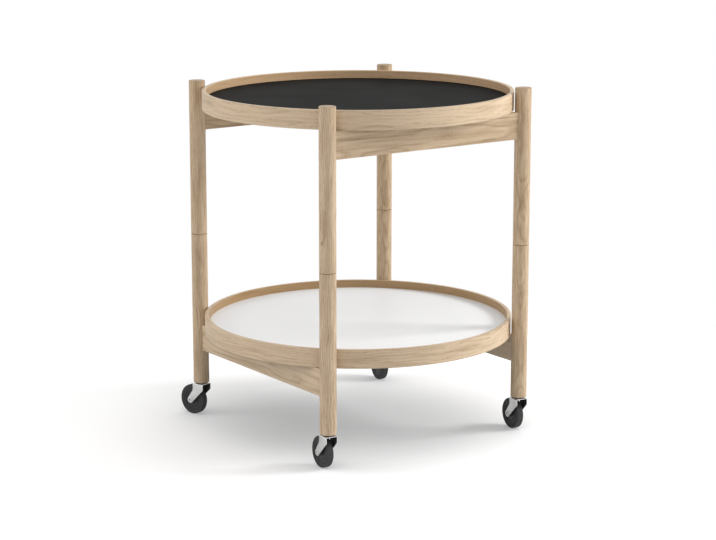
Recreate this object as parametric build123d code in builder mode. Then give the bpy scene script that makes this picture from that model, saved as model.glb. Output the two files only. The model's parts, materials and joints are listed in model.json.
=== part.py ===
from build123d import *
import math
import os

os.makedirs("parts", exist_ok=True)

# A serving trolley: two round trays with bent wooden rims rest on the rails of a round-legged
# frame that runs on four swivel casters. Millimetres, Z up. The origin is on the floor, on the
# trays' common axis.

# Trays
tray_d = 500
rim_t = 7
rim_h = 30
rim_edge_r = 1.2
board_core_t = 3
laminate_t = 0.5
groove_depth = 2.5
glue_gap = 0.05

# Legs, each made of two turned halves
leg_d = 26.2
leg_half_l = 252.5
leg_top_r = 1.0
leg_foot_r = 0.5
seam_bevel_h = 0.6
seam_bevel_depth = 1.2
tray_to_leg_gap = 2.2

# Rails
rail_t = 9
rail_h = 43.2
rail_edge_r = 0.9
lower_rail_rise = 56.2
rim_below_leg_top = 8.1
tenon_t = 5
tenon_h = 32
tenon_l = 9
mortise_bottom_gap = 0.6

# Screwed joint halfway up the legs
insert_d = 12
insert_l = 15
insert_inset = 0.6
stud_d = 8
thread_gap = 0.05
stud_end_gap = 1.5

# Wheels
wheel_d = 50
wheel_w = 13
core_d = 36
shoulder_drop = 1.6
shoulder_r = 1.2
tyre_groove_d = 41
tyre_groove_w = 1.6
tyre_groove_depth = 0.6
core_rim_t = 3.2
core_rim_inset = 0.5
core_web_t = 10
core_ring_d = 24
core_ring_t = 1.8
core_ring_w = 11.4
hub_d = 11
hub_w = 17.4

# Axle
axle_d = 5
sleeve_d = 7
rivet_head_d = 8.4
rivet_head_h = 0.8
rivet_dimple_d = 3.6
rivet_dimple_depth = 4
running_gap = 0.05
cheek_gap = 0.3

# Fork, stamped from sheet
sheet_t = 1.3
bend_r = 1.0
trail = 17.2
fork_front = 11.2
fork_back = 10.8
knee_drop = 9.2
elbow_drop = 11
boss_r = 5.6
knee_r = 2.5
elbow_r = 9
tyre_to_fork = 3.9

# Swivel head and stem
washer_t = 0.8
washer_d = 19
collar_t = 1.0
collar_d = 16
neck_d = 7
swivel_head_d = 12
swivel_head_h = 1.8
swivel_head_r = 0.9
swivel_play = 0.15
pin_d = 8
pin_l = 32
pin_chamfer = 1.0
grip_ring_drop = 8
grip_ring_w = 1.4
grip_ring_t = 0.8
grip_ring_mouth = 3
socket_t = 1.5
socket_flange_d = 20
socket_flange_t = 0.5
socket_end_gap = 1

# The way that each wheel trails, as an angle about Z from +X
trail_angle = {"front": 175.0, "right": 172.0, "back": 170.5, "left": 196.5}

# Derived sizes
tray_r = tray_d / 2
rim_inner_r = tray_r - rim_t
board_r = rim_inner_r + groove_depth - glue_gap
laminate_r = rim_inner_r - glue_gap
leg_r = leg_d / 2
leg_offset = (tray_r + tray_to_leg_gap + leg_r) / math.sqrt(2)
leg_pitch = 2 * leg_offset

wheel_r = wheel_d / 2
fork_inner_w = hub_w + 2 * cheek_gap
fork_outer_w = fork_inner_w + 2 * sheet_t
plate_bottom_z = wheel_d + tyre_to_fork
plate_top_z = plate_bottom_z + sheet_t
washer_top_z = plate_top_z + washer_t
collar_top_z = washer_top_z + collar_t
leg_foot_z = collar_top_z + socket_flange_t

seam_z = leg_foot_z + leg_half_l
leg_top_z = seam_z + leg_half_l
lower_rail_z = leg_foot_z + lower_rail_rise
lower_rim_z = lower_rail_z + rail_h
upper_rim_z = leg_top_z - rim_below_leg_top - rim_h
upper_rail_z = upper_rim_z - rail_h

mortise_t = tenon_t + 2 * glue_gap
mortise_h = tenon_h + 2 * glue_gap
mortise_l = tenon_l + mortise_bottom_gap
insert_bore_r = insert_d / 2 + glue_gap
insert_bore_l = insert_inset + insert_l + glue_gap
stud_l = 2 * (insert_inset + insert_l - stud_end_gap)
socket_inner_r = pin_d / 2 + running_gap
socket_r = socket_inner_r + socket_t
socket_bore_r = socket_r + glue_gap
socket_l = pin_l + socket_end_gap
socket_bore_l = socket_l + glue_gap

# Where each leg stands, and the turn that points its rail along the leg's own +X
leg_spots = {
    "front": (leg_offset, -leg_offset),
    "right": (leg_offset, leg_offset),
    "back": (-leg_offset, leg_offset),
    "left": (-leg_offset, -leg_offset),
}
upper_turn = {"front": 90, "right": -90, "back": -90, "left": 90}
lower_turn = {"front": 180, "right": 180, "back": 0, "left": 0}


def save(piece, name):
    piece.label = name
    export_step(piece, f"parts/{name}.step")


def save_at(piece, name, x, y, turn):
    with BuildPart() as placed:
        with Locations(Location((x, y, 0), (0, 0, turn))):
            add(piece)
    save(placed.part, name)


# Legs. Both halves stand on the origin's axis with their rail leaving along +X.


def slot_profile(x, mid_z, height, thickness):
    with BuildSketch(Plane.YZ.offset(x)) as profile:
        with Locations((0, mid_z)):
            SlotOverall(height, thickness, rotation=90)
    return profile.sketch


mortise_x = leg_r - mortise_l
upper_rail_mid_z = upper_rail_z + rail_h / 2
lower_rail_mid_z = lower_rail_z + rail_h / 2

with BuildPart() as upper_leg:
    with BuildSketch(Plane.XY.offset(seam_z)):
        Circle(leg_r)
    extrude(amount=leg_half_l)
    fillet(upper_leg.edges().sort_by(Axis.Z)[-1], leg_top_r)
    seam_edge = upper_leg.edges().sort_by(Axis.Z)[0]
    seam_face = upper_leg.faces().sort_by(Axis.Z)[0]
    chamfer(seam_edge, seam_bevel_depth, seam_bevel_h, reference=seam_face)
    with Locations(upper_leg.faces().sort_by(Axis.Z)[0]):
        Hole(insert_bore_r, insert_bore_l)
    upper_mortise = slot_profile(mortise_x, upper_rail_mid_z, mortise_h, mortise_t)
    extrude(upper_mortise, amount=mortise_l, mode=Mode.SUBTRACT)

with BuildPart() as lower_leg:
    with BuildSketch(Plane.XY.offset(leg_foot_z)):
        Circle(leg_r)
    extrude(amount=leg_half_l)
    fillet(lower_leg.edges().sort_by(Axis.Z)[0], leg_foot_r)
    seam_edge = lower_leg.edges().sort_by(Axis.Z)[-1]
    seam_face = lower_leg.faces().sort_by(Axis.Z)[-1]
    chamfer(seam_edge, seam_bevel_depth, seam_bevel_h, reference=seam_face)
    with Locations(lower_leg.faces().sort_by(Axis.Z)[-1]):
        Hole(insert_bore_r, insert_bore_l)
    with Locations(lower_leg.faces().sort_by(Axis.Z)[0]):
        Hole(socket_bore_r, socket_bore_l)
    lower_mortise = slot_profile(mortise_x, lower_rail_mid_z, mortise_h, mortise_t)
    extrude(lower_mortise, amount=mortise_l, mode=Mode.SUBTRACT)

for spot, (x, y) in leg_spots.items():
    save_at(upper_leg.part, f"upper_leg_{spot}", x, y, upper_turn[spot])
    save_at(lower_leg.part, f"lower_leg_{spot}", x, y, lower_turn[spot])


# Rails. The shoulders are coped to the round legs, and a round-ended tenon runs into each leg.


def make_rail(mid_z):
    with BuildPart() as rail:
        with BuildSketch(Plane.YZ):
            with Locations((0, mid_z)):
                RectangleRounded(rail_t, rail_h, rail_edge_r)
        extrude(amount=leg_offset, both=True)
        with Locations((-leg_offset, 0, mid_z), (leg_offset, 0, mid_z)):
            Cylinder(leg_r + glue_gap, leg_half_l, mode=Mode.SUBTRACT)
        tenons = slot_profile(0, mid_z, tenon_h, tenon_t)
        extrude(tenons, amount=leg_offset - leg_r + tenon_l, both=True)
    return rail.part


lower_rail = make_rail(lower_rail_mid_z)
upper_rail = make_rail(upper_rail_mid_z)
save_at(lower_rail, "lower_rail_front", 0, -leg_offset, 0)
save_at(lower_rail, "lower_rail_back", 0, leg_offset, 180)
save_at(upper_rail, "upper_rail_right", leg_offset, 0, 90)
save_at(upper_rail, "upper_rail_left", -leg_offset, 0, -90)


# The screwed joint at the seams: an insert in each leg end, and a stud through both.

with BuildPart() as leg_joint_inserts:
    with BuildSketch(Plane.XY.offset(seam_z + insert_inset)):
        with GridLocations(leg_pitch, leg_pitch, 2, 2):
            Circle(insert_d / 2)
            Circle(stud_d / 2 + thread_gap, mode=Mode.SUBTRACT)
    extrude(amount=insert_l)
    mirror(about=Plane.XY.offset(seam_z))
save(leg_joint_inserts.part, "leg_joint_inserts")

with BuildPart() as leg_joint_studs:
    with BuildSketch(Plane.XY.offset(seam_z)):
        with GridLocations(leg_pitch, leg_pitch, 2, 2):
            Circle(stud_d / 2)
    extrude(amount=stud_l / 2, both=True)
save(leg_joint_studs.part, "leg_joint_studs")


# Trays. The rim is a bent strip with a groove halfway up, which holds the board. A sheet of
# laminate on each face of the board ends at the rim.


def save_disc(name, z, thickness, radius):
    with BuildPart() as disc:
        with BuildSketch(Plane.XY.offset(z)):
            Circle(radius)
        extrude(amount=thickness)
    save(disc.part, name)


def make_tray(name, rim_z, upper_face, lower_face):
    mid_z = rim_z + rim_h / 2
    core_z = mid_z - board_core_t / 2
    with BuildPart() as rim:
        with BuildSketch(Plane.XZ) as section:
            with Locations((tray_r - rim_t / 2, mid_z)):
                Rectangle(rim_t, rim_h)
            fillet(section.vertices(), rim_edge_r)
            with Locations((rim_inner_r, mid_z)):
                Rectangle(2 * groove_depth, board_core_t + 2 * glue_gap, mode=Mode.SUBTRACT)
        revolve(axis=Axis.Z)
    save(rim.part, f"{name}_rim")
    save_disc(f"{name}_board", core_z, board_core_t, board_r)
    save_disc(f"{name}_{upper_face}_face", core_z + board_core_t, laminate_t, laminate_r)
    save_disc(f"{name}_{lower_face}_face", core_z - laminate_t, laminate_t, laminate_r)


make_tray("top_tray", upper_rim_z, "black", "white")
make_tray("lower_tray", lower_rim_z, "white", "black")


# Caster stems and their sockets stay with the legs.

with BuildPart() as caster_sockets:
    with BuildSketch(Plane.XY.offset(collar_top_z)):
        with GridLocations(leg_pitch, leg_pitch, 2, 2):
            Circle(socket_flange_d / 2)
    extrude(amount=socket_flange_t)
    with BuildSketch(Plane.XY.offset(leg_foot_z)):
        with GridLocations(leg_pitch, leg_pitch, 2, 2):
            Circle(socket_r)
    extrude(amount=socket_l)
    with BuildSketch(Plane.XY.offset(collar_top_z)):
        with GridLocations(leg_pitch, leg_pitch, 2, 2):
            Circle(socket_inner_r)
    extrude(amount=socket_flange_t + socket_l, mode=Mode.SUBTRACT)
save(caster_sockets.part, "caster_sockets")

pin_top_z = collar_top_z + pin_l
grip_ring_z = pin_top_z - grip_ring_drop
grip_groove_r = pin_d / 2 - grip_ring_t - glue_gap
swivel_head_z = plate_bottom_z - swivel_play - swivel_head_h

with BuildPart() as stem:
    for bottom_z, top_z, diameter in (
        (swivel_head_z, plate_bottom_z - swivel_play, swivel_head_d),
        (plate_bottom_z - swivel_play, washer_top_z, neck_d),
        (washer_top_z, collar_top_z, collar_d),
        (collar_top_z, pin_top_z, pin_d),
    ):
        with BuildSketch(Plane.XY.offset(bottom_z)):
            Circle(diameter / 2)
        extrude(amount=top_z - bottom_z)
    fillet(stem.edges().sort_by(Axis.Z)[0], swivel_head_r)
    chamfer(stem.edges().sort_by(Axis.Z)[-1], pin_chamfer)
    with BuildSketch(Plane.XY.offset(grip_ring_z)):
        Circle(pin_d / 2)
        Circle(grip_groove_r, mode=Mode.SUBTRACT)
    extrude(amount=-grip_ring_w - glue_gap, mode=Mode.SUBTRACT)

with BuildPart() as stem_grip_rings:
    with BuildSketch(Plane.XY.offset(grip_ring_z - glue_gap / 2)):
        with GridLocations(leg_pitch, leg_pitch, 2, 2):
            Circle(socket_inner_r)
            Circle(grip_groove_r + glue_gap, mode=Mode.SUBTRACT)
        with GridLocations(leg_pitch, leg_pitch, 2, 2):
            with Locations((socket_inner_r, 0)):
                Rectangle(pin_d, grip_ring_mouth, mode=Mode.SUBTRACT)
    extrude(amount=-grip_ring_w)
save(stem_grip_rings.part, "stem_grip_rings")


# Fork. A strip of sheet is bent into a channel over the wheel, and its cheeks are cut to a knee
# in front, an elbow behind and a round boss at the axle. The wheel trails along +X.

axle = (trail, wheel_r)
front_corner = (-fork_front, plate_top_z)
rear_corner = (fork_back, plate_top_z)
knee = (-fork_front, plate_bottom_z - knee_drop)
elbow = (fork_back, plate_bottom_z - elbow_drop)
half_gap = fork_inner_w / 2

with BuildPart() as fork:
    with BuildSketch(Plane.YZ.offset(-fork_front)):
        with BuildLine():
            FilletPolyline(
                (-half_gap, 0),
                (-half_gap, plate_bottom_z),
                (half_gap, plate_bottom_z),
                (half_gap, 0),
                radius=bend_r,
            )
            offset(amount=sheet_t, side=Side.LEFT)
        make_face()
    extrude(amount=fork_front + trail + boss_r)
    with BuildSketch(Plane.XZ) as cheek:
        with BuildLine():
            CenterArc(axle, boss_r, 0, 360)
            Line(knee, elbow)
        make_hull()
        with BuildLine():
            Polyline(knee, front_corner, rear_corner, elbow, close=True)
        make_face()
        fillet(cheek.vertices().sort_by_distance(knee)[0], knee_r)
        fillet(cheek.vertices().sort_by_distance(elbow)[0], elbow_r)
    extrude(amount=fork_outer_w, both=True, mode=Mode.INTERSECT)
    with BuildSketch(Plane.XZ):
        with Locations(axle):
            Circle(axle_d / 2 + running_gap)
    extrude(amount=fork_outer_w, both=True, mode=Mode.SUBTRACT)
    with Locations((0, 0, plate_top_z)):
        Hole(neck_d / 2 + running_gap, sheet_t)

with BuildPart() as thrust_washer:
    with BuildSketch(Plane.XY.offset(plate_top_z)):
        Circle(washer_d / 2)
        Circle(neck_d / 2 + running_gap, mode=Mode.SUBTRACT)
    extrude(amount=washer_t)


# Axle, wheel core and tyre share the line through the cheeks. A profile in axle_plane has the
# axle's line as its X axis and the radius as its Y.

axle_plane = Plane(origin=(trail, 0, wheel_r), x_dir=(0, 1, 0), z_dir=(1, 0, 0))
axle_line = Axis((trail, 0, wheel_r), (0, 1, 0))
half_wheel = wheel_w / 2
rivet_half_l = fork_outer_w / 2 + rivet_head_h


def band(half_width, inner_r, outer_r):
    """The section of a ring about the axle's line, half_width to each side of the middle."""
    with BuildSketch() as section:
        with Locations((0, (inner_r + outer_r) / 2)):
            Rectangle(2 * half_width, outer_r - inner_r)
    return section.sketch


with BuildPart() as axle_rivet:
    with BuildSketch(axle_plane):
        add(band(rivet_half_l, 0, axle_d / 2))
        for side in (-1, 1):
            with Locations((side * (fork_outer_w + rivet_head_h) / 2, 0)):
                add(band(rivet_head_h / 2, 0, rivet_head_d / 2))
            with Locations((side * (rivet_half_l - rivet_dimple_depth / 2), 0)):
                add(band(rivet_dimple_depth / 2, 0, rivet_dimple_d / 2), mode=Mode.SUBTRACT)
    revolve(axis=axle_line)

with BuildPart() as axle_sleeve:
    with BuildSketch(axle_plane):
        add(band(half_gap, axle_d / 2 + running_gap, sleeve_d / 2))
    revolve(axis=axle_line)

core_r = core_d / 2
with BuildPart() as wheel_core:
    with BuildSketch(axle_plane):
        add(band(hub_w / 2, sleeve_d / 2 + running_gap, hub_d / 2))
        add(band(core_web_t / 2, sleeve_d / 2 + running_gap, core_r))
        add(band(core_ring_w / 2, (core_ring_d - core_ring_t) / 2, (core_ring_d + core_ring_t) / 2))
        add(band(half_wheel - core_rim_inset, core_r - core_rim_t, core_r))
    revolve(axis=axle_line)

with BuildPart() as tyre:
    with BuildSketch(axle_plane) as section:
        with BuildLine():
            ThreePointArc(
                (-half_wheel, wheel_r - shoulder_drop),
                (0, wheel_r),
                (half_wheel, wheel_r - shoulder_drop),
            )
            Polyline(
                (half_wheel, wheel_r - shoulder_drop),
                (half_wheel, core_r),
                (-half_wheel, core_r),
                (-half_wheel, wheel_r - shoulder_drop),
            )
        make_face()
        fillet(section.vertices().group_by(Axis.Y)[-1], shoulder_r)
        for side in (-1, 1):
            with Locations((side * half_wheel, tyre_groove_d / 2)):
                Rectangle(2 * tyre_groove_depth, tyre_groove_w, mode=Mode.SUBTRACT)
    revolve(axis=axle_line)

for spot, (x, y) in leg_spots.items():
    turn = trail_angle[spot]
    save_at(stem.part, f"caster_stem_{spot}", x, y, turn)
    save_at(thrust_washer.part, f"thrust_washer_{spot}", x, y, turn)
    save_at(fork.part, f"fork_{spot}", x, y, turn)
    save_at(axle_rivet.part, f"axle_rivet_{spot}", x, y, turn)
    save_at(axle_sleeve.part, f"axle_sleeve_{spot}", x, y, turn)
    save_at(wheel_core.part, f"wheel_core_{spot}", x, y, turn)
    save_at(tyre.part, f"tyre_{spot}", x, y, turn)
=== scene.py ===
# %% [markdown]
# A round serving trolley in pale oak
#
# Two round trays rest on the rails of a round-legged oak frame, and the frame rolls on four small
# casters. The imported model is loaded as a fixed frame. It gives every size and place: most of its
# parts keep their own shape and only get a finish, and the small pressed and moulded parts of the
# casters are modelled again here, because their rounded edges are what catches the light. All
# lengths are in metres, and small ones are written as so many times mm.

# %% Load the frame
import json
import math
import bmesh
import bpy
from mathutils import Matrix, Vector


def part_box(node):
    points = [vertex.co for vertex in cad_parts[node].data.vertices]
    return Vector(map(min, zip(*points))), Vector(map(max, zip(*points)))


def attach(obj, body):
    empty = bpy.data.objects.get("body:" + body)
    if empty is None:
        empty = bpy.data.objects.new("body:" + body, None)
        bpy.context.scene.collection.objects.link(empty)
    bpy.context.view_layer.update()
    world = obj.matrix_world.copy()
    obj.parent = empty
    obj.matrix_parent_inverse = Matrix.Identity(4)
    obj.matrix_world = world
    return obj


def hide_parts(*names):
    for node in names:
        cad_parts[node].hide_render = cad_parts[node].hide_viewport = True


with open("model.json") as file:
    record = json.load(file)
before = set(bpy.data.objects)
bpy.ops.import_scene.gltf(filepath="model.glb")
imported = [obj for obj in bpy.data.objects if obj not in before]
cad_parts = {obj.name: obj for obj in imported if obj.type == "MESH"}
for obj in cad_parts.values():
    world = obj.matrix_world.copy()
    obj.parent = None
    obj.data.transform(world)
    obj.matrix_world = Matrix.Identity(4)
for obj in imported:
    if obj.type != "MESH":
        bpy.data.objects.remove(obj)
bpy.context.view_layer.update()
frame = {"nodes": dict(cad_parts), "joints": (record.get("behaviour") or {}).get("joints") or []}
nodes = frame["nodes"]
joints = {joint["name"]: joint for joint in frame["joints"]}
spots = ("front", "right", "back", "left")
mm = 0.001

# %% [markdown]
# The camera
#
# The photograph was taken with a long lens from a little above the upper tray. The lens follows
# from the focal length in pixels, which a camera fitted to the outlines of legs and trays gives.
# The camera looks slightly down and has no shift, so that it can be moved round the object.

# %% Camera
photo_width_px = 716
focal_px = 2162
sensor_mm = 36
camera_azimuth = math.radians(54.89)
camera_pitch = math.radians(12.21)
camera_distance = 3.445
camera_height = 1.003

camera_data = bpy.data.cameras.new("camera")
camera_data.sensor_width = sensor_mm
camera_data.lens = focal_px * sensor_mm / photo_width_px
camera = bpy.data.objects.new("camera", camera_data)
camera.location = (
    camera_distance * math.sin(camera_azimuth),
    -camera_distance * math.cos(camera_azimuth),
    camera_height,
)
camera.rotation_euler = (math.pi / 2 - camera_pitch, 0, camera_azimuth)
bpy.context.scene.collection.objects.link(camera)
bpy.context.scene.camera = camera
print("lens", round(camera_data.lens, 1), "mm")

# %% [markdown]
# Arithmetic for finishes
#
# A finish is a graph of shader nodes. Wiring each node by hand hides the idea of the pattern, so
# one class wraps a socket and lets it be used in ordinary arithmetic: every operation adds its
# Math node, also where a plain number stands first, as in 1 - mask.

# %% Sockets as numbers
class Signal:
    """A value that varies over a surface: one output socket of a graph."""

    def __init__(self, graph, socket):
        self.graph = graph
        self.socket = socket

    def __add__(self, other):
        return self.graph.maths("ADD", self, other)

    def __sub__(self, other):
        return self.graph.maths("SUBTRACT", self, other)

    def __rsub__(self, other):
        return self.graph.maths("SUBTRACT", other, self)

    def __mul__(self, other):
        return self.graph.maths("MULTIPLY", self, other)

    def __truediv__(self, other):
        return self.graph.maths("DIVIDE", self, other)

    def __rtruediv__(self, other):
        return self.graph.maths("DIVIDE", other, self)

    def __pow__(self, other):
        return self.graph.maths("POWER", self, other)

    def __rpow__(self, other):
        return self.graph.maths("POWER", other, self)

    __radd__ = __add__
    __rmul__ = __mul__


# %% [markdown]
# One method for every other node
#
# Noise, ramps and shaders have no arithmetic sign. They are all made by one method, which takes a
# node's type, then its settings, then the values or links of its sockets. The few patterns that
# every finish needs are built on it: a point's own place, noise, a soft step and a mix of two
# colours. Places are Object coordinates, which stay with a piece when it moves. The class only
# knows its tree, so that it can wire the world as well as a material.

# %% Graphs of nodes
def set_stops(ramp, stops):
    """Gives a colour ramp its stops, each a position and a grey."""
    while len(ramp.elements) < len(stops):
        ramp.elements.new(0.5)
    for element, (position, grey) in zip(ramp.elements, stops):
        element.position = position
        element.color = (grey, grey, grey, 1)


class Graph:
    """A graph of shader nodes under construction."""

    def __init__(self, tree):
        self.tree = tree

    def node(self, kind, settings=None, values=None, output=0):
        """Adds a node. Its settings are set first, then its sockets get values or links."""
        made = self.tree.nodes.new("ShaderNode" + kind)
        for name, value in (settings or {}).items():
            if name == "stops":
                set_stops(made.color_ramp, value)
            else:
                setattr(made, name, value)
        for name, value in (values or {}).items():
            self.feed(made.inputs[name], value)
        return Signal(self, made.outputs[output])

    def feed(self, socket, value):
        if isinstance(value, Signal):
            self.tree.links.new(value.socket, socket)
        else:
            socket.default_value = value

    def maths(self, operation, *values):
        return self.node("Math", {"operation": operation}, dict(enumerate(values)))

    def place(self):
        """The point's own X, Y and Z in metres, which stay with the piece when it moves."""
        point = self.node("TexCoord", output="Object")
        split = self.node("SeparateXYZ", values={"Vector": point})
        return [Signal(self, socket) for socket in split.socket.node.outputs]

    def noise(self, rates, detail=2.0):
        """Soft noise from 0 to 1. Rates are its spots in a metre along X, Y and Z."""
        stretched = [value * rate for value, rate in zip(self.place(), rates)]
        point = self.node("CombineXYZ", values=dict(enumerate(stretched)))
        return self.node("TexNoise", values={"Vector": point, "Scale": 1.0, "Detail": detail})

    def fade(self, value, start, end):
        """0 up to the start, 1 from the end on, and a soft step between them."""
        return self.node(
            "MapRange",
            {"interpolation_type": "SMOOTHSTEP"},
            {"Value": value, "From Min": start, "From Max": end},
        )

    def blend(self, share, low, high):
        """A colour between two colours, which are sockets 6 and 7 of the Mix node."""
        return self.node("Mix", {"data_type": "RGBA"}, {0: share, 6: low, 7: high}, output=2)


def rgb(red, green, blue):
    return (red, green, blue, 1)


white = rgb(1, 1, 1)
black = rgb(0, 0, 0)

# %% [markdown]
# A finish
#
# A finish is such a graph inside a new material. Its surface is the Principled shader that every
# new material has, and the patterns feed that shader's sockets by name. Fine relief goes through
# a Bump node, with its depth in metres.

# %% One class for a finish
class Finish(Graph):
    """A material under construction, with its Principled shader as the surface."""

    def __init__(self, name):
        self.material = bpy.data.materials.new(name)
        self.material.use_nodes = True
        super().__init__(self.material.node_tree)
        self.surface = self.tree.nodes["Principled BSDF"]

    def set(self, **sockets):
        """Sets sockets of the surface by name, with an underscore for each space."""
        for name, value in sockets.items():
            self.feed(self.surface.inputs[name.replace("_", " ")], value)

    def relief(self, height, depth):
        """Raises the surface by up to depth, in metres, where height is 1."""
        bump = self.node("Bump", values={"Distance": depth, "Height": height})
        self.feed(self.surface.inputs["Normal"], bump)


# %% [markdown]
# How the grain of oak runs
#
# The whole frame and both rims are oak, oiled so lightly that it looks almost raw. An image of oak
# could be wrapped round each part, but it would show seams, and the wrong grain where a leg is
# sawn off. So the colour is worked out in the solid, as the tree grew it, and end grain comes by
# itself. Two helpers say how a point lies to the fibres, which run along X, Y or Z. The rims were
# bent, so their fibres run round the tray: there the grain reads the radius and the height, and
# runs slowly in X and Y, which leaves no seam where the circle closes.

# %% The run of the grain
axes = "XYZ"


def across_grain(finish, grain):
    """The two coordinates of a point across the fibres."""
    x, y, z = finish.place()
    if grain == "round":
        return (x * x + y * y) ** 0.5, z
    return [value for axis, value in zip(axes, (x, y, z)) if axis != grain]


def fibre_noise(finish, grain, rates, pace=1.0):
    """Noise that is drawn out along the fibres. Rates are its spots in a metre along the fibres,
    those in a metre across them, and its detail. Pace quickens it along the fibres."""
    along, across, detail = rates
    along = along * pace
    if grain != "round":
        return finish.noise([along if axis == grain else across for axis in axes], detail)
    x, y, z = finish.place()
    radius = (x * x + y * y) ** 0.5
    point = finish.node("CombineXYZ", values={0: x * along, 1: y * along, 2: z * across})
    return finish.node(
        "TexNoise",
        {"noise_dimensions": "4D"},
        {"Vector": point, "W": radius * across, "Scale": 1.0, "Detail": detail},
    )


# %% [markdown]
# What oak is made of
#
# Oak has annual rings, each a band of coarse pores and then dense pale wood. The rings are
# distances from a pith line beside the board, and drift a little along it. Fibres, brown streaks,
# broad clouds and the pores themselves are noise, and differ only in how long and how fine their
# spots are. Four colours carry all of it. The weights were set beside the photograph. Each says
# how much a pattern counts in the sum that turns the pale wood tan, and the usual sum is taken
# off, so that the contrast swings round zero.

# %% Colours, noises and weights of oak
oak_pale = rgb(0.605, 0.466, 0.318)
oak_tan = rgb(0.35, 0.236, 0.131)
oak_brown = rgb(0.255, 0.155, 0.078)
oak_pore = rgb(0.18, 0.108, 0.055)

ring_pitch = 3.4 * mm
ring_drift = 22 * mm
ring_band = [(0.0, 0.1), (0.25, 1.0), (0.5, 0.4), (1.0, 0.0)]

drift_rates = (5.0, 22.0, 2.0)
fibre_rates = (12.0, 330.0, 3.0)
streak_rates = (7.0, 105.0, 2.0)
cloud_rates = (9.0, 34.0, 1.0)
pore_rates = (130.0, 2400.0, 0.0)

ring_weight = 0.45
fibre_weight = 1.4
cloud_weight = 0.5
usual_sum = 1.15
usual_tan = 0.4
streak_range = (0.50, 0.74)
streak_share = 0.5
pore_range = (0.60, 0.68)
pore_share = 0.55
print("rings of", round(ring_pitch / mm, 1), "mm, drifting by up to", round(ring_drift / mm), "mm")

# %% [markdown]
# Marks of a single board, and painted shade
#
# Three things are laid on some boards only. A small knot has a dark heart and pushes the rings
# aside. The ends of a leg's sticks are browner, partly because end grain drinks more oil and partly
# as painted shade in the groove of the seam where two sticks meet. And the inner face of a rim gets
# painted shade, a deeper colour, because there the wood lies in shade and is lit by light that comes
# from wood. Each is a soft step over a distance, so that it can be added to the wood where it is wanted.

# %% Knots, sawn ends with painted seam shade, and painted shade inside a rim
knot_reach = 11 * mm
knot_core = 1 * mm
knot_push = 6 * mm
knot_length_weight = 0.2
heart_edge = 2.6 * mm
heart_core = 0.8 * mm
heart_share = 0.8
# How far a stick's darker end reaches: end grain, and painted shade in the seam's groove
sawn_edge = 0.9 * mm
sawn_core = 0.4 * mm
end_oil_and_shade_share = 0.4
# How far the painted shade on a rim's inner face reaches in
inner_shade_edge = 1.5 * mm
inner_shade_core = 0.5 * mm


def knot_at(finish, centre):
    """How far a knot pushes the rings at each point, and where its dark heart is."""
    x, y, z = (value - middle for value, middle in zip(finish.place(), centre))
    away = (x * x + y * y + z * z * knot_length_weight) ** 0.5
    push = finish.fade(away, knot_reach, knot_core) * knot_push
    heart = finish.fade(away, heart_edge, heart_core)
    return push, heart


def ends_oil_and_seam_shade(finish, low, high):
    """1 on the two ends of an upright stick, given by their heights: end grain, and at the seam painted
    shade.
    """
    height = finish.place()[2]
    foot = finish.fade(height, low + sawn_edge, low + sawn_core)
    top = finish.fade(height, high - sawn_edge, high - sawn_core)
    return foot + top


def painted_inner_shade(finish, radius, inner_radius):
    """1 on the inner face of a ring, where its shade is painted."""
    return finish.fade(radius, inner_radius + inner_shade_edge, inner_radius + inner_shade_core)


# %% [markdown]
# Oiled oak
#
# Now the wood is put together in the order in which one would paint it: pale wood, tan by rings
# and fibres, brown by streaks, the deeper inside of a rim, and the dark pores last. Pores are also
# rougher and lie deeper than the wood round them, because the oil doesn't fill them.

# %% Oak for one board
oiled_roughness = 0.42
pore_roughness = 0.2
fibre_roughness = 0.1
fibre_height = 0.5
pore_depth = 0.06 * mm


def oak(name, grain, pith, pace=1.0, tone=0.0, figure=1.0, knot=None, ends=None, inside=None):
    """Oak with its annual rings round the pith, a place across the grain. Pace says how quickly
    the figure changes along the grain, tone how much browner the board is, and figure how strong
    its contrast is. A knot is a point, and ends are the two heights of an upright stick, which darken
    for end grain and as painted seam shade. Inside is a ring's inner radius with the share and the
    colour of the shade painted on its inner face."""
    finish = Finish(name)
    u, v = across_grain(finish, grain)
    off_u = u - pith[0]
    off_v = v - pith[1]
    drift = fibre_noise(finish, grain, drift_rates, pace)
    distance = (off_u * off_u + off_v * off_v) ** 0.5 + drift * ring_drift
    heart = 0.0
    if knot:
        push, heart = knot_at(finish, knot)
        distance = distance - push
    ring_part = finish.maths("FRACT", distance / ring_pitch)
    ring = finish.node("ValToRGB", {"stops": ring_band}, {"Fac": ring_part})
    fibre = fibre_noise(finish, grain, fibre_rates, pace)
    streak = fibre_noise(finish, grain, streak_rates, pace)
    cloud = fibre_noise(finish, grain, cloud_rates, pace)
    pore = ring * finish.fade(fibre_noise(finish, grain, pore_rates), *pore_range)
    # Darker ends of a stick: end grain drinking oil, and painted shade where the seam's groove is
    sawn = ends_oil_and_seam_shade(finish, *ends) if ends else 0.0

    contrast = ring * ring_weight + fibre * fibre_weight + cloud * cloud_weight - usual_sum
    wood = finish.blend(contrast * figure + (tone + usual_tan), oak_pale, oak_tan)
    streaked = finish.fade(streak, *streak_range) * (streak_share * figure)
    wood = finish.blend(streaked + heart * heart_share + sawn * end_oil_and_shade_share, wood, oak_brown)
    # Painted shade: the inner face of a rim turns towards a deeper colour
    if inside:
        inner_radius, share, deeper = inside
        wood = finish.blend(painted_inner_shade(finish, u, inner_radius) * share, wood, deeper)
    finish.set(
        Base_Color=finish.blend(pore * pore_share, wood, oak_pore),
        Roughness=oiled_roughness + pore * pore_roughness + fibre * fibre_roughness,
        Specular_IOR_Level=0.5,
    )
    finish.relief(fibre * fibre_height - pore, pore_depth)
    return finish.material


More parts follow.
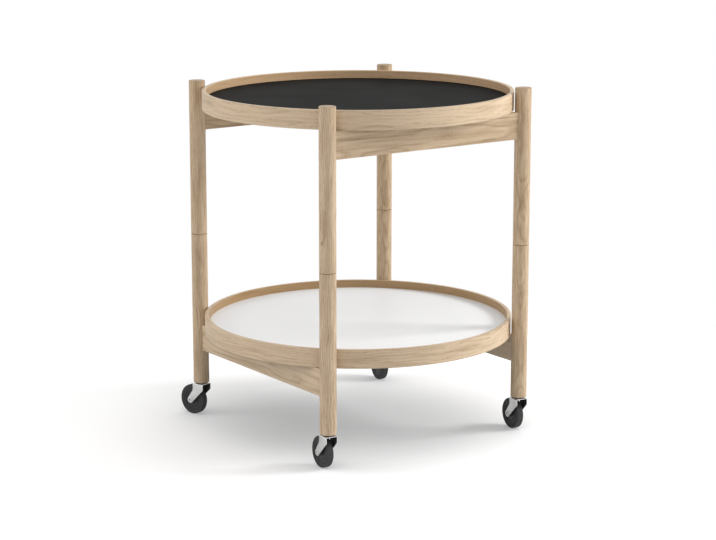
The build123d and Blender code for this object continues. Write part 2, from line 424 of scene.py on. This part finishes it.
# %% [markdown]
# Boards for the rims
#
# On the real trolley every part comes from its own stick or board, so each gets its own wood here.
# What makes them differ is where the pith of the tree lay. A rim is one long board, bent round. Its
# pith is given inwards and down from the rim's outer top edge, and far from it, so that the rings
# cross the board nearly straight. The inner face of each rim gets painted shade, and that of the
# lower rim, under the upper tray, is the deeper brown of the two.

# %% Oak for each rim
inner_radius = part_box("lower_tray_white_face")[1].x
# Rim, pith inwards, pith down, pace, tone, figure, then share and colour of the painted shade inside
rim_boards = (
    ("top_tray_rim", 150 * mm, 90 * mm, 1.2, -0.34, 0.65, 0.55, rgb(0.50, 0.29, 0.13)),
    ("lower_tray_rim", 50 * mm, 60 * mm, 1.6, -0.24, 0.75, 0.66, rgb(0.27, 0.135, 0.025)),
)
oak_finish = {}
for node, pith_in, pith_down, pace, tone, figure, inner_shade_share, deeper in rim_boards:
    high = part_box(node)[1]
    pith = (high.x - pith_in, high.z - pith_down)
    inside = (inner_radius, inner_shade_share, deeper)
    oak_finish[node] = oak(f"oak_{node}", "round", pith, pace, tone, figure, inside=inside)
print("oak for", ", ".join(oak_finish))

# %% [markdown]
# Boards for the rails
#
# The four rails are flat boards, cut from four places in the tree. Their piths are given from the
# lower edge on the side of lesser X or Y. Each lies a few centimetres off the board's broad face,
# on one side or the other, so that the face cuts the rings at a low angle and shows arches.

# %% Oak for each rail
# Rail, run of its grain, pith aside, pith up, tone
rail_boards = (
    ("upper_rail_right", "Y", -50 * mm, 10 * mm, 0.0),
    ("upper_rail_left", "Y", 62 * mm, 28 * mm, 0.3),
    ("lower_rail_front", "X", 50 * mm, 30 * mm, -0.15),
    ("lower_rail_back", "X", -44 * mm, 12 * mm, -0.75),
)
for node, grain, pith_aside, pith_up, tone in rail_boards:
    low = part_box(node)[0]
    side = low.x if grain == "Y" else low.y
    oak_finish[node] = oak(f"oak_{node}", grain, (side + pith_aside, low.z + pith_up), tone=tone)
print("oak for", ", ".join(board[0] for board in rail_boards))

# %% [markdown]
# Sticks for the legs
#
# Each leg is turned from two sticks. The pith is given from the leg's axis. For the right and the
# back leg it lies in line with the view, so their rings show as arches, and for the others it lies
# beside it, so they run straight. The lower stick is turned half round, and the figure changes at
# the seam as it does on the real legs. One small knot is seen, on the front leg above its seam.

# %% Oak for each half of a leg
# Leg, pith along X and Y, tone
leg_sticks = {
    "front": (30 * mm, 34 * mm, -0.08),
    "right": (-36 * mm, 25 * mm, 0.12),
    "back": (-38 * mm, 20 * mm, 0.22),
    "left": (26 * mm, 40 * mm, 0.12),
}
leg_pace = 2.4
leg_figure = 0.85
knots = {"upper_leg_front": (2.6 * mm, -12.8 * mm, 357 * mm)}
for spot, (pith_x, pith_y, tone) in leg_sticks.items():
    axis_x, axis_y = joints[f"swivel_{spot}"]["pos_m"][:2]
    for half, side in (("upper", 1), ("lower", -1)):
        node = f"{half}_leg_{spot}"
        pith = (axis_x + side * pith_x, axis_y + side * pith_y)
        knot = None
        if node in knots:
            knot_x, knot_y, knot_z = knots[node]
            knot = (axis_x + knot_x, axis_y + knot_y, knot_z)
        # The ends of each stick, darkened for end grain and as painted shade at the seam
        ends = [corner.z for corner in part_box(node)]
        oak_finish[node] = oak(f"oak_{node}", "Z", pith, leg_pace, tone, leg_figure, knot, ends)
print(len(oak_finish), "parts have their own oak")

# %% [markdown]
# The laminates
#
# Each tray is a thin board with a sheet of laminate on both faces: one black, one white. Laminate
# is pressed paper and resin, so it has no grain, only a very fine orange-peel texture that turns
# reflections into a soft glow. Two scales of noise are enough: a fine one for the texture, and a
# broad one that lets the gloss wander a little, as handling does.

# %% Laminate
handled_rates = (9, 9, 9)
peel_rates = (1400, 1400, 1400)
peel_depth = 0.012 * mm
laminate_roughness = 0.44
handled_roughness = 0.12


def laminate(name, colour, deeper, gloss):
    finish = Finish(name)
    handled = finish.noise(handled_rates, detail=3.0)
    peel = finish.noise(peel_rates, detail=1.0)
    finish.set(
        Base_Color=finish.blend(handled, colour, deeper),
        Roughness=laminate_roughness + handled * handled_roughness,
        Specular_IOR_Level=gloss,
    )
    finish.relief(peel, peel_depth)
    return finish.material


black_laminate = laminate("black_laminate", rgb(0.012, 0.012, 0.0115), rgb(0.009, 0.009, 0.0085), 0.007)
white_laminate = laminate("white_laminate", rgb(0.85, 0.855, 0.86), rgb(0.83, 0.835, 0.84), 0.35)
print("finishes", black_laminate.name, "and", white_laminate.name)

# %% [markdown]
# The core board
#
# Between its laminates each tray has a thin plywood board. Only its edge could ever be seen, deep
# in the rim's groove, where it shows its veneers as stripes. Stripes that repeat with the height
# are one Math node, and a little noise drawn out along X gives the veneers their fibres.

# %% Plywood
veneer = 1.0 * mm
ply_pale = rgb(0.56, 0.42, 0.28)
ply_dark = rgb(0.38, 0.26, 0.16)
ply_fibre_rates = (30, 500, 900)
stripe_share = 0.6
ply_fibre_share = 0.4
ply_roughness = 0.7
ply_fibre_roughness = 0.1


def plywood(name):
    finish = Finish(name)
    height = finish.place()[2]
    stripe = finish.maths("PINGPONG", height, veneer) / veneer
    fibre = finish.noise(ply_fibre_rates)
    finish.set(
        Base_Color=finish.blend(stripe * stripe_share + fibre * ply_fibre_share, ply_pale, ply_dark),
        Roughness=ply_roughness + fibre * ply_fibre_roughness,
    )
    return finish.material


core_board = plywood("core_board")
print("finish", core_board.name)

# %% [markdown]
# Metals
#
# The casters' pressed parts are zinc plated: bright, but never a mirror, because the plating
# follows the rolled sheet underneath. Blotches of noise vary the roughness, and a fine noise drawn
# out one way keeps the trace of rolling. Inside the fork the sheet sees little but the black wheel
# and lies in shade, and looks nearly black in the photograph, so that side gets a near black zinc as
# painted shade. The screwed joints inside the legs and the stems' sockets are duller.

# %% Plated steel
blotch_rates = (160, 160, 160)
rolled_rates = (3000, 3000, 350)
rolled_depth = 0.01 * mm
blotch_share = 0.7
rolled_share = 0.3
blotch_roughness = 0.14


def plated_steel(name, bright, dull, roughness):
    finish = Finish(name)
    blotch = finish.noise(blotch_rates, detail=3.0)
    rolled = finish.noise(rolled_rates, detail=2.0)
    finish.set(
        Base_Color=finish.blend(blotch * blotch_share + rolled * rolled_share, bright, dull),
        Metallic=1.0,
        Roughness=roughness + blotch * blotch_roughness,
    )
    finish.relief(rolled, rolled_depth)
    return finish.material


zinc = plated_steel("zinc_plated_steel", rgb(0.85, 0.85, 0.84), rgb(0.70, 0.70, 0.70), 0.34)
# Painted shade: near black zinc for the inside of the fork, which lies in shade
painted_shade_zinc = plated_steel("zinc_inside_fork", rgb(0.11, 0.11, 0.11), rgb(0.07, 0.07, 0.07), 0.5)
insert_steel = plated_steel("insert_steel", rgb(0.66, 0.63, 0.56), rgb(0.52, 0.50, 0.45), 0.34)
spring_steel = plated_steel("spring_steel", rgb(0.42, 0.42, 0.43), rgb(0.30, 0.30, 0.31), 0.3)
print("finishes", ", ".join(steel.name for steel in (zinc, painted_shade_zinc, insert_steel, spring_steel)))

# %% [markdown]
# Plastic and rubber
#
# The wheels are two mouldings: a hard plastic disc, and a soft tread moulded round it. Both are
# near black. The disc has the faint grain of a spark-eroded mould and a low sheen, and the tread is
# duller and carries a little floor dust, which noise lays on in patches.

# %% Moulded plastic and rubber
patch_rates = (90, 90, 90)
mould_rates = (2600, 2600, 2600)
patch_share = 0.8
mould_share = 0.2
patch_roughness = 0.12
fine_mould = 0.01 * mm
coarse_mould = 0.03 * mm


def moulded(name, colour, dusty, roughness, depth):
    finish = Finish(name)
    patch = finish.noise(patch_rates, detail=4.0)
    mould = finish.noise(mould_rates, detail=1.0)
    finish.set(
        Base_Color=finish.blend(patch * patch_share + mould * mould_share, colour, dusty),
        Roughness=roughness + patch * patch_roughness,
        Specular_IOR_Level=0.4,
    )
    finish.relief(mould, depth)
    return finish.material


disc_plastic = moulded("disc_plastic", rgb(0.022, 0.022, 0.023), rgb(0.034, 0.034, 0.035), 0.38, fine_mould)
washer_plastic = moulded("washer_plastic", rgb(0.05, 0.05, 0.05), rgb(0.08, 0.08, 0.08), 0.4, fine_mould)
tread_rubber = moulded("tread_rubber", rgb(0.026, 0.026, 0.027), rgb(0.05, 0.05, 0.051), 0.6, coarse_mould)
print("finishes", ", ".join(moulding.name for moulding in (disc_plastic, washer_plastic, tread_rubber)))

# %% [markdown]
# Dressing the parts of the frame
#
# A part whose shape is right keeps it, and its material slots are filled. That goes for the legs,
# the rails, the trays, and what is hidden inside the legs and between the casters' cheeks.

# %% Give each part its finish
def dress(material, *names):
    for name in names:
        for slot in nodes[name].material_slots:
            slot.material = material
    print(", ".join(names), "in", material.name)


for node, material in oak_finish.items():
    dress(material, node)
for spot in spots:
    dress(zinc, f"caster_stem_{spot}")
    dress(insert_steel, f"axle_sleeve_{spot}")
    dress(washer_plastic, f"thrust_washer_{spot}")
for tray in ("top_tray", "lower_tray"):
    dress(core_board, f"{tray}_board")
    dress(black_laminate, f"{tray}_black_face")
    dress(white_laminate, f"{tray}_white_face")
dress(insert_steel, "leg_joint_inserts", "leg_joint_studs", "caster_sockets")
dress(spring_steel, "stem_grip_rings")

# %% [markdown]
# Modelling by hand, in code
#
# The small parts of the casters are modelled as one would with the mouse: a primitive, then edit
# mode. What the mouse would click on is chosen here by its place, with a test on the middle of
# each vertex, edge or face. A hair, a hundredth of a millimetre, is the tolerance of such tests.
# Each part is made once, under a leg that stands at the origin and with its wheel trailing along
# X, and is copied to the four legs afterwards.

# %% Start a piece and pick in it
hair = 0.01 * mm


def start_piece(name):
    """Names the newest primitive, applies its place and opens it for editing, with nothing selected."""
    piece = bpy.context.object
    piece.name = name
    piece.data.name = name
    bpy.ops.object.transform_apply(location=True, rotation=True, scale=True)
    bpy.ops.object.mode_set(mode="EDIT")
    bpy.ops.mesh.select_all(action="DESELECT")
    return piece


def pick(kind, test):
    """Selects the vertices, edges or faces whose middle passes the test, and nothing else."""
    bpy.ops.mesh.select_mode(type=kind)
    bpy.ops.mesh.select_all(action="DESELECT")
    data = bpy.context.object.data
    mesh = bmesh.from_edit_mesh(data)
    for element in {"VERT": mesh.verts, "EDGE": mesh.edges, "FACE": mesh.faces}[kind]:
        corners = [element] if kind == "VERT" else element.verts
        middle = sum((corner.co for corner in corners), Vector()) / len(corners)
        if test(middle):
            element.select_set(True)
    bmesh.update_edit_mesh(data)


def near(place, reach=10 * hair):
    """A test for what lies within reach of a place."""
    return lambda middle: (middle - Vector(place)).length < reach


def extrude_by(kind, move):
    """Extrudes what is selected and moves the new part."""
    extrude = {
        "VERT": bpy.ops.mesh.extrude_vertices_move,
        "EDGE": bpy.ops.mesh.extrude_edges_move,
        "FACE": bpy.ops.mesh.extrude_region_move,
    }[kind]
    extrude(TRANSFORM_OT_translate={"value": move})


# %% [markdown]
# Closing a piece and breaking its edges
#
# No edge on a real part is perfectly sharp: stampings are tumbled and mouldings come out rounded.
# A small bevel catches the light in the same way. It is applied as a modifier, so that it reaches
# every sharp edge at once. Before that the piece leaves edit mode as one closed skin, with its
# doubled points merged and its faces turned outwards.

# %% Finish a piece
sharp_from = math.radians(30)


def apply_modifier(piece, kind, **settings):
    modifier = piece.modifiers.new(kind.lower(), kind)
    for name, value in settings.items():
        setattr(modifier, name, value)
    bpy.ops.object.modifier_apply(modifier=modifier.name)


def close_piece():
    """Leaves edit mode with doubles merged and the faces pointing outwards."""
    bpy.ops.mesh.select_all(action="SELECT")
    bpy.ops.mesh.remove_doubles(threshold=0.1 * hair)
    bpy.ops.mesh.normals_make_consistent(inside=False)
    bpy.ops.object.mode_set(mode="OBJECT")


def soften(piece, width, segments=2):
    """Breaks the sharp edges, as tumbling or a mould does, and shades the piece smooth."""
    bevel = {"width": width, "segments": segments}
    apply_modifier(piece, "BEVEL", limit_method="ANGLE", angle_limit=sharp_from, **bevel)
    bpy.ops.object.shade_smooth_by_angle(angle=sharp_from)


# %% [markdown]
# What the frame says about a caster
#
# The swivel joint stands on the leg's axis and the roll joint on the axle, so the distance between
# them is the trail, and the direction is the way that each wheel points. The plate's two heights
# come from the fork's box and the swivel joint. Only what these can't tell, such as a width across
# a turned caster or a bend's radius, is given later, with the piece that has it.

# %% Caster sizes
swivel = {spot: Vector(joints[f"swivel_{spot}"]["pos_m"]) for spot in spots}
roll = {spot: Vector(joints[f"roll_{spot}"]["pos_m"]) for spot in spots}
trail = (roll["front"] - swivel["front"]).xy.length
axle_height = roll["front"].z
wheel_radius = axle_height
axle = Vector((trail, 0, axle_height))
across_wheel = (math.pi / 2, 0, 0)
plate_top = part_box("fork_front")[1].z
plate_bottom = swivel["front"].z
sheet = plate_top - plate_bottom
print("trail", round(trail / mm, 2), "axle", round(axle_height / mm, 2), "sheet", round(sheet / mm, 2))

# %% [markdown]
# The fork's blank
#
# The fork is one blank of sheet, folded down on both sides of the wheel. From the side a cheek has
# a straight front with a knee, a back that sweeps into an elbow, and a round boss at the axle. A
# curve could trace it, but it is quicker to start from what must be exact. The boss starts as a
# circle. The arc that faces the plate is deleted, and the two open ends are extruded to the knee,
# the elbow and the plate, as one would draw the blank.

# %% Draw the fork's blank
fork_inner_width = 18 * mm
fork_outer_width = fork_inner_width + 2 * sheet
boss_radius = 5.6 * mm
boss_steps = 96
knee = Vector((-11.2 * mm, 0, plate_bottom - 9.2 * mm))
elbow = Vector((10.8 * mm, 0, plate_bottom - 11 * mm))
knee_radius = 2.5 * mm
elbow_radius = 9 * mm
bend_steps = 8
cheek_y = -fork_outer_width / 2
straight_down = Vector((0, 0, -1))
arc_margin = 0.01


def tangent_angle(corner, side):
    """The angle on the boss at which a line from the corner touches it."""
    reach = corner - axle
    return math.atan2(reach.z, reach.x) + side * math.acos(boss_radius / reach.xz.length)


front_touch = tangent_angle(knee, 1)
back_touch = tangent_angle(elbow, -1)


def on_open_arc(middle):
    angle = math.atan2(middle.z - axle.z, middle.x - axle.x) % math.tau
    return back_touch + arc_margin < angle < front_touch - arc_margin


def boss_point(angle):
    return axle + boss_radius * Vector((math.cos(angle), 0, math.sin(angle)))


bpy.ops.object.select_all(action="DESELECT")
bpy.ops.mesh.primitive_circle_add(
    vertices=boss_steps, radius=boss_radius, location=(axle.x, cheek_y, axle.z), rotation=across_wheel
)
fork = start_piece("fork_master")
pick("VERT", on_open_arc)
bpy.ops.mesh.delete(type="VERT")
for touch, corner in ((front_touch, knee), (back_touch, elbow)):
    mesh = bmesh.from_edit_mesh(fork.data)
    end = min(mesh.verts, key=lambda v: (v.co.xz - boss_point(touch).xz).length).co.copy()
    pick("VERT", near(end, hair))
    extrude_by("VERT", (corner.x - end.x, 0, corner.z - end.z))
    extrude_by("VERT", (0, 0, plate_top - corner.z))
bpy.ops.mesh.select_all(action="SELECT")
bpy.ops.mesh.edge_face_add()
for corner, radius, touch in ((knee, knee_radius, front_touch), (elbow, elbow_radius, back_touch)):
    turn = (boss_point(touch) - corner).angle(straight_down)
    pick("VERT", near((corner.x, cheek_y, corner.z)))
    bpy.ops.mesh.bevel(affect="VERTICES", offset=radius * math.tan(turn / 2), segments=bend_steps)
print("fork blank with", len(bmesh.from_edit_mesh(fork.data).verts), "points")

# %% [markdown]
# The fold
#
# A press folds the blank over the wheel. Here the cheek's upper edge is extruded to the middle, and
# the corner between them is bevelled with the bend's radius. The other half is a mirror image, and
# Solidify gives both the thickness of the sheet, even round the bend.

# %% Fold, mirror and thicken the blank
inner_fold_radius = 1 * mm
upper_edge = ((knee.x + elbow.x) / 2, cheek_y, plate_top)
pick("EDGE", near(upper_edge))
extrude_by("EDGE", (0, -cheek_y, 0))
pick("EDGE", near(upper_edge))
bpy.ops.mesh.bevel(affect="EDGES", offset=inner_fold_radius + sheet, segments=bend_steps)
bpy.ops.object.mode_set(mode="OBJECT")
apply_modifier(fork, "MIRROR", use_axis=(False, True, False), use_clip=True, merge_threshold=hair)
bpy.ops.object.mode_set(mode="EDIT")
close_piece()
apply_modifier(fork, "SOLIDIFY", thickness=sheet, offset=-1, use_even_offset=True)
print("fork from", fork.bound_box[0][:], "to", fork.bound_box[6][:])

# %% [markdown]
# Holes and edges of the fork
#
# The stem comes down through a hole in the plate, and the rivet goes through one in each cheek. A
# cylinder is taken away for each, as a drill would do. Then the edges are broken, and what lies
# between the cheeks and under the plate gets the near black zinc of painted shade.

# %% Drill the fork and break its edges
drill_length = 100 * mm
drill_steps = 48
axle_hole_radius = 2.55 * mm
neck_hole_radius = 3.55 * mm
stamped_edge = 0.22 * mm
inside_half_width = fork_inner_width / 2 + 5 * hair
inside_top = plate_bottom + 5 * hair
painted_shade_slot = 1


def drill(piece, place, turn, radius):
    bpy.ops.mesh.primitive_cylinder_add(
        vertices=drill_steps, radius=radius, depth=drill_length, location=place, rotation=turn
    )
    cutter = bpy.context.object
    bpy.ops.object.select_all(action="DESELECT")
    piece.select_set(True)
    bpy.context.view_layer.objects.active = piece
    apply_modifier(piece, "BOOLEAN", operation="DIFFERENCE", object=cutter, solver="EXACT")
    bpy.data.objects.remove(cutter)


drill(fork, axle, across_wheel, axle_hole_radius)
drill(fork, (0, 0, plate_top), (0, 0, 0), neck_hole_radius)
soften(fork, stamped_edge)
fork.data.materials.append(zinc)
# The second slot holds the painted shade for the faces inside the fork
fork.data.materials.append(painted_shade_zinc)
for face in fork.data.polygons:
    if abs(face.center.y) < inside_half_width and face.center.z < inside_top:
        face.material_index = painted_shade_slot
print("fork", len(fork.data.polygons), "faces")

# %% [markdown]
# The rivet
#
# The axle is a hollow-ended rivet, closed over the cheeks. Seen from outside it is a ring with
# round edges about a dark hole. A cylinder of the shank's size gets a head at each end: the end
# face is widened in place, extruded to the head's height, inset, and pushed back in for the hollow.

# %% Rivet
shank_radius = 2.5 * mm
shank_steps = 64
rivet_head_radius = 4.2 * mm
rivet_head_height = 0.8 * mm
rivet_dome = 0.3 * mm
hollow_radius = 2.0 * mm
hollow_depth = 4 * mm
widen = rivet_head_radius / shank_radius
bpy.ops.object.select_all(action="DESELECT")
bpy.ops.mesh.primitive_cylinder_add(
    vertices=shank_steps, radius=shank_radius, depth=fork_outer_width, location=axle, rotation=across_wheel
)
rivet = start_piece("rivet_master")
for side in (-1, 1):
    pick("FACE", near((axle.x, side * fork_outer_width / 2, axle.z)))
    extrude_by("FACE", (0, 0, 0))
    bpy.ops.transform.resize(value=(widen, 1, widen))
    extrude_by("FACE", (0, side * rivet_head_height, 0))
    bpy.ops.mesh.inset(thickness=rivet_head_radius - hollow_radius)
    extrude_by("FACE", (0, -side * hollow_depth, 0))
close_piece()
soften(rivet, rivet_dome, segments=4)
rivet.data.materials.append(zinc)
print("rivet", len(rivet.data.polygons), "faces")

# %% [markdown]
# The wheel's disc
#
# The wheel's disc is a black moulding that is almost flat outside, with shallow rings round its
# hub. It starts as a cylinder across the axle, and both of its ends are worked inwards ring by
# ring: an inset makes the next circle, and an extrusion raises or lowers it. The last faces are
# deleted, and a bridge between the two holes makes the bore.

# %% Wheel disc
disc_radius = 18 * mm
disc_half_width = 5.3 * mm
disc_steps = 96
disc_edge = 0.3 * mm
bore_radius = 3.55 * mm
insets_and_rises = (
    (3.2 * mm, -1.0 * mm),
    (1.9 * mm, 0.7 * mm),
    (1.8 * mm, -0.7 * mm),
    (5.6 * mm, 4.4 * mm),
)
hub_radius = disc_radius - sum(inset for inset, rise in insets_and_rises)
hub_half_width = disc_half_width + sum(rise for inset, rise in insets_and_rises)
bpy.ops.object.select_all(action="DESELECT")
bpy.ops.mesh.primitive_cylinder_add(
    vertices=disc_steps, radius=disc_radius, depth=2 * disc_half_width, location=axle, rotation=across_wheel
)
disc = start_piece("wheel_disc_master")
for side in (-1, 1):
    pick("FACE", near((axle.x, side * disc_half_width, axle.z)))
    for inset, rise in insets_and_rises:
        bpy.ops.mesh.inset(thickness=inset)
        extrude_by("FACE", (0, side * rise, 0))
    bpy.ops.mesh.inset(thickness=hub_radius - bore_radius)
    bpy.ops.mesh.delete(type="FACE")
pick("EDGE", lambda middle: (middle - axle).xz.length < bore_radius + 10 * hair)
bpy.ops.mesh.bridge_edge_loops()
close_piece()
soften(disc, disc_edge, segments=3)
disc.data.materials.append(disc_plastic)
print("wheel disc", len(disc.data.polygons), "faces, hub", round(hub_half_width / mm, 2))

# %% [markdown]
# The tread
#
# The tread is soft rubber moulded round the disc, almost flat across, with small round shoulders
# and a fine groove near the foot of each side. A plane gives the part above the grooves. Its two
# upper corners are rounded, its lower edge is taken away, and the two open ends are extruded
# inwards, down and out again for the groove, then down to the disc. The closed outline is spun
# round the axle.

# %% Tread
tread_half_width = 5.8 * mm
tread_edge = 0.25 * mm
shoulder_radius = 1.9 * mm
shoulder_steps = 6
groove_top = 21.3 * mm
groove_width = 1.6 * mm
groove_depth = 0.6 * mm
spin_steps = 128
outline_size = (1, 2 * tread_half_width, wheel_radius - groove_top)
bpy.ops.object.select_all(action="DESELECT")
bpy.ops.mesh.primitive_plane_add(size=1, location=axle, rotation=(0, math.pi / 2, 0))
tread = start_piece("tread_master")
bpy.ops.mesh.select_all(action="SELECT")
bpy.ops.transform.resize(value=outline_size, center_override=axle)
bpy.ops.transform.translate(value=(0, 0, (wheel_radius + groove_top) / 2))
pick("VERT", lambda middle: middle.z > axle.z + wheel_radius - hair)
bpy.ops.mesh.bevel(affect="VERTICES", offset=shoulder_radius, segments=shoulder_steps)
pick("EDGE", near((axle.x, 0, axle.z + groove_top)))
bpy.ops.mesh.delete(type="EDGE")
for side in (-1, 1):
    pick("VERT", near((axle.x, side * tread_half_width, axle.z + groove_top)))
    extrude_by("VERT", (0, -side * groove_depth, 0))
    extrude_by("VERT", (0, 0, -groove_width))
    extrude_by("VERT", (0, side * groove_depth, 0))
    extrude_by("VERT", (0, 0, disc_radius - groove_top + groove_width))
pick("VERT", lambda middle: middle.z < axle.z + disc_radius + hair)
bpy.ops.mesh.edge_face_add()
bpy.ops.mesh.select_all(action="SELECT")
bpy.ops.mesh.spin(steps=spin_steps, angle=math.tau, center=axle, axis=(0, 1, 0))
close_piece()
soften(tread, tread_edge)
tread.data.materials.append(tread_rubber)
print("tread", len(tread.data.polygons), "faces")

# %% [markdown]
# Four casters from one
#
# Each copy gets its own mesh, turned to the way that its wheel trails and moved to its leg inside
# the mesh, so that the object itself stays at the origin. The copy then rides on the body of the
# part that it stands for, and that part is no longer shown.

# %% Copy the caster parts to the legs
masters = {
    "fork": (fork, "caster", "zinc_steel"),
    "axle_rivet": (rivet, "caster", "zinc_steel"),
    "wheel_core": (disc, "wheel", "caster_plastic"),
    "tyre": (tread, "wheel", "tyre_rubber"),
}
for spot in spots:
    heading = (roll[spot] - swivel[spot]).xy
    turn = Matrix.Rotation(math.atan2(heading.y, heading.x), 4, "Z")
    place = Matrix.Translation((swivel[spot].x, swivel[spot].y, 0)) @ turn
    for part, (master, body, slot) in masters.items():
        mesh = master.data.copy()
        mesh.transform(place)
        piece = bpy.data.objects.new(f"{part}_shown_{spot}", mesh)
        mesh.name = piece.name
        bpy.context.scene.collection.objects.link(piece)
        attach(piece, f"{body}_{spot}")
        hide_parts(f"{part}_{spot}")
for master, body, slot in masters.values():
    bpy.data.objects.remove(master)
print("casters under", ", ".join(spots))

# %% [markdown]
# The lamps
#
# A product like this is lit by large soft boxes. A strong one stands to the right, a little behind
# the trolley, a weaker one to the left, and a faint one hangs high on the camera's side. Nothing
# strong shines from the camera, which is why the round legs are darkest in the middle. Each lamp
# is placed by its bearing from the camera's side, 90 being the picture's right. A box lights the
# surfaces but isn't mirrored in them, so no tray or rim turns white where the camera would look
# into a lamp's image.

# %% Soft boxes
lamp_target = Vector((0, 0, 0.3))
lamp_distance = 2.4
# Lamp, bearing and elevation in degrees, width and height, power in watts
soft_boxes = (
    ("right_box", 94, 21, (0.9, 0.6), 48),
    ("left_box", -85, 12, (1.4, 0.7), 15.5),
    ("top_box", 0, 60, (1.2, 1.2), 8),
)
for name, bearing, elevation, size, power in soft_boxes:
    turn = camera_azimuth + math.radians(bearing)
    rise = math.radians(elevation)
    away = Vector((math.sin(turn) * math.cos(rise), -math.cos(turn) * math.cos(rise), math.sin(rise)))
    lamp_data = bpy.data.lights.new(name, "AREA")
    lamp_data.shape = "RECTANGLE"
    lamp_data.size, lamp_data.size_y = size
    lamp_data.energy = power
    lamp = bpy.data.objects.new(name, lamp_data)
    lamp.location = lamp_target + away * lamp_distance
    lamp.rotation_mode = "QUATERNION"
    lamp.rotation_quaternion = away.to_track_quat("Z", "Y")
    lamp.visible_glossy = False
    bpy.context.scene.collection.objects.link(lamp)
    print(name, "with", power, "W")

# %% [markdown]
# The floor
#
# The floor is pale and only there to carry the shadow. The camera sees a little plain emission
# added to it, which thins the shadow, and a soft darkening wherever the trolley covers the sky
# close above the floor, which gathers the shadow under the lower tray. Farther out, between two
# circles round the trolley, it turns into pure white, so that no horizon shows. All of this is for
# camera rays only: the trolley is lit by the plain floor.

# %% Floor
floor_size = 40
floor_pale = rgb(0.86, 0.86, 0.86)
floor_lift = rgb(0.32, 0.32, 0.32)
contact_depth = 0.8
contact_reach = 0.25
contact_samples = 16
white_from = 0.35
white_at = 1.0
bpy.ops.object.select_all(action="DESELECT")
bpy.ops.mesh.primitive_plane_add(size=floor_size, location=(0, 0, 0))
floor = bpy.context.object
floor.name = "floor"
floor_finish = Finish("floor_paint")
seen = floor_finish.node("LightPath", output="Is Camera Ray")
openness = floor_finish.node(
    "AmbientOcclusion", {"samples": contact_samples}, {"Distance": contact_reach}, output="AO"
)
covered = seen * (1 - openness) * contact_depth
floor_finish.set(
    Base_Color=floor_finish.blend(covered, floor_pale, black),
    Roughness=0.9,
    Specular_IOR_Level=0.0,
)
x, y, z = floor_finish.place()
outwards = floor_finish.fade((x * x + y * y) ** 0.5, white_from, white_at)
lift = floor_finish.blend(seen, black, floor_lift)
glow = floor_finish.node("Emission", values={"Color": lift, "Strength": 1.0})
painted = Signal(floor_finish, floor_finish.surface.outputs[0])
lifted = floor_finish.node("AddShader", values={0: painted, 1: glow})
plain_white = floor_finish.node("Emission", values={"Color": white, "Strength": 1.0})
faded = floor_finish.node("MixShader", values={0: seen * outwards, 1: lifted, 2: plain_white})
floor_finish.feed(floor_finish.tree.nodes["Material Output"].inputs["Surface"], faded)
floor.data.materials.append(floor_finish.material)
print("floor", floor_size, "m wide, white from", white_at, "m out")

# %% [markdown]
# The world
#
# The background is white to the camera, and also in reflections, so that the steel shows it. For
# everything else the world is a weaker even light, which fills the shadows as a white room does.
# Its graph is wired by the same class as a finish.

# %% World
ambient = 0.60
world = bpy.data.worlds.new("studio")
world.use_nodes = True
bpy.context.scene.world = world
sky = Graph(world.node_tree)
sky.tree.nodes.remove(sky.tree.nodes["Background"])
seen = sky.node("LightPath", output="Is Camera Ray")
mirrored = sky.node("LightPath", output="Is Glossy Ray")
fill = sky.node("Background", values={"Color": white, "Strength": ambient})
backdrop = sky.node("Background", values={"Color": white, "Strength": 1.0})
shown = sky.node("MixShader", values={0: sky.maths("MAXIMUM", seen, mirrored), 1: fill, 2: backdrop})
sky.feed(sky.tree.nodes["World Output"].inputs["Surface"], shown)
print("even light of", ambient)

# %% [markdown]
# Colours as written
#
# The view transform is the plain one, so that a colour comes out about as it is written here.

# %% Colour settings
bpy.context.scene.view_settings.view_transform = "Standard"
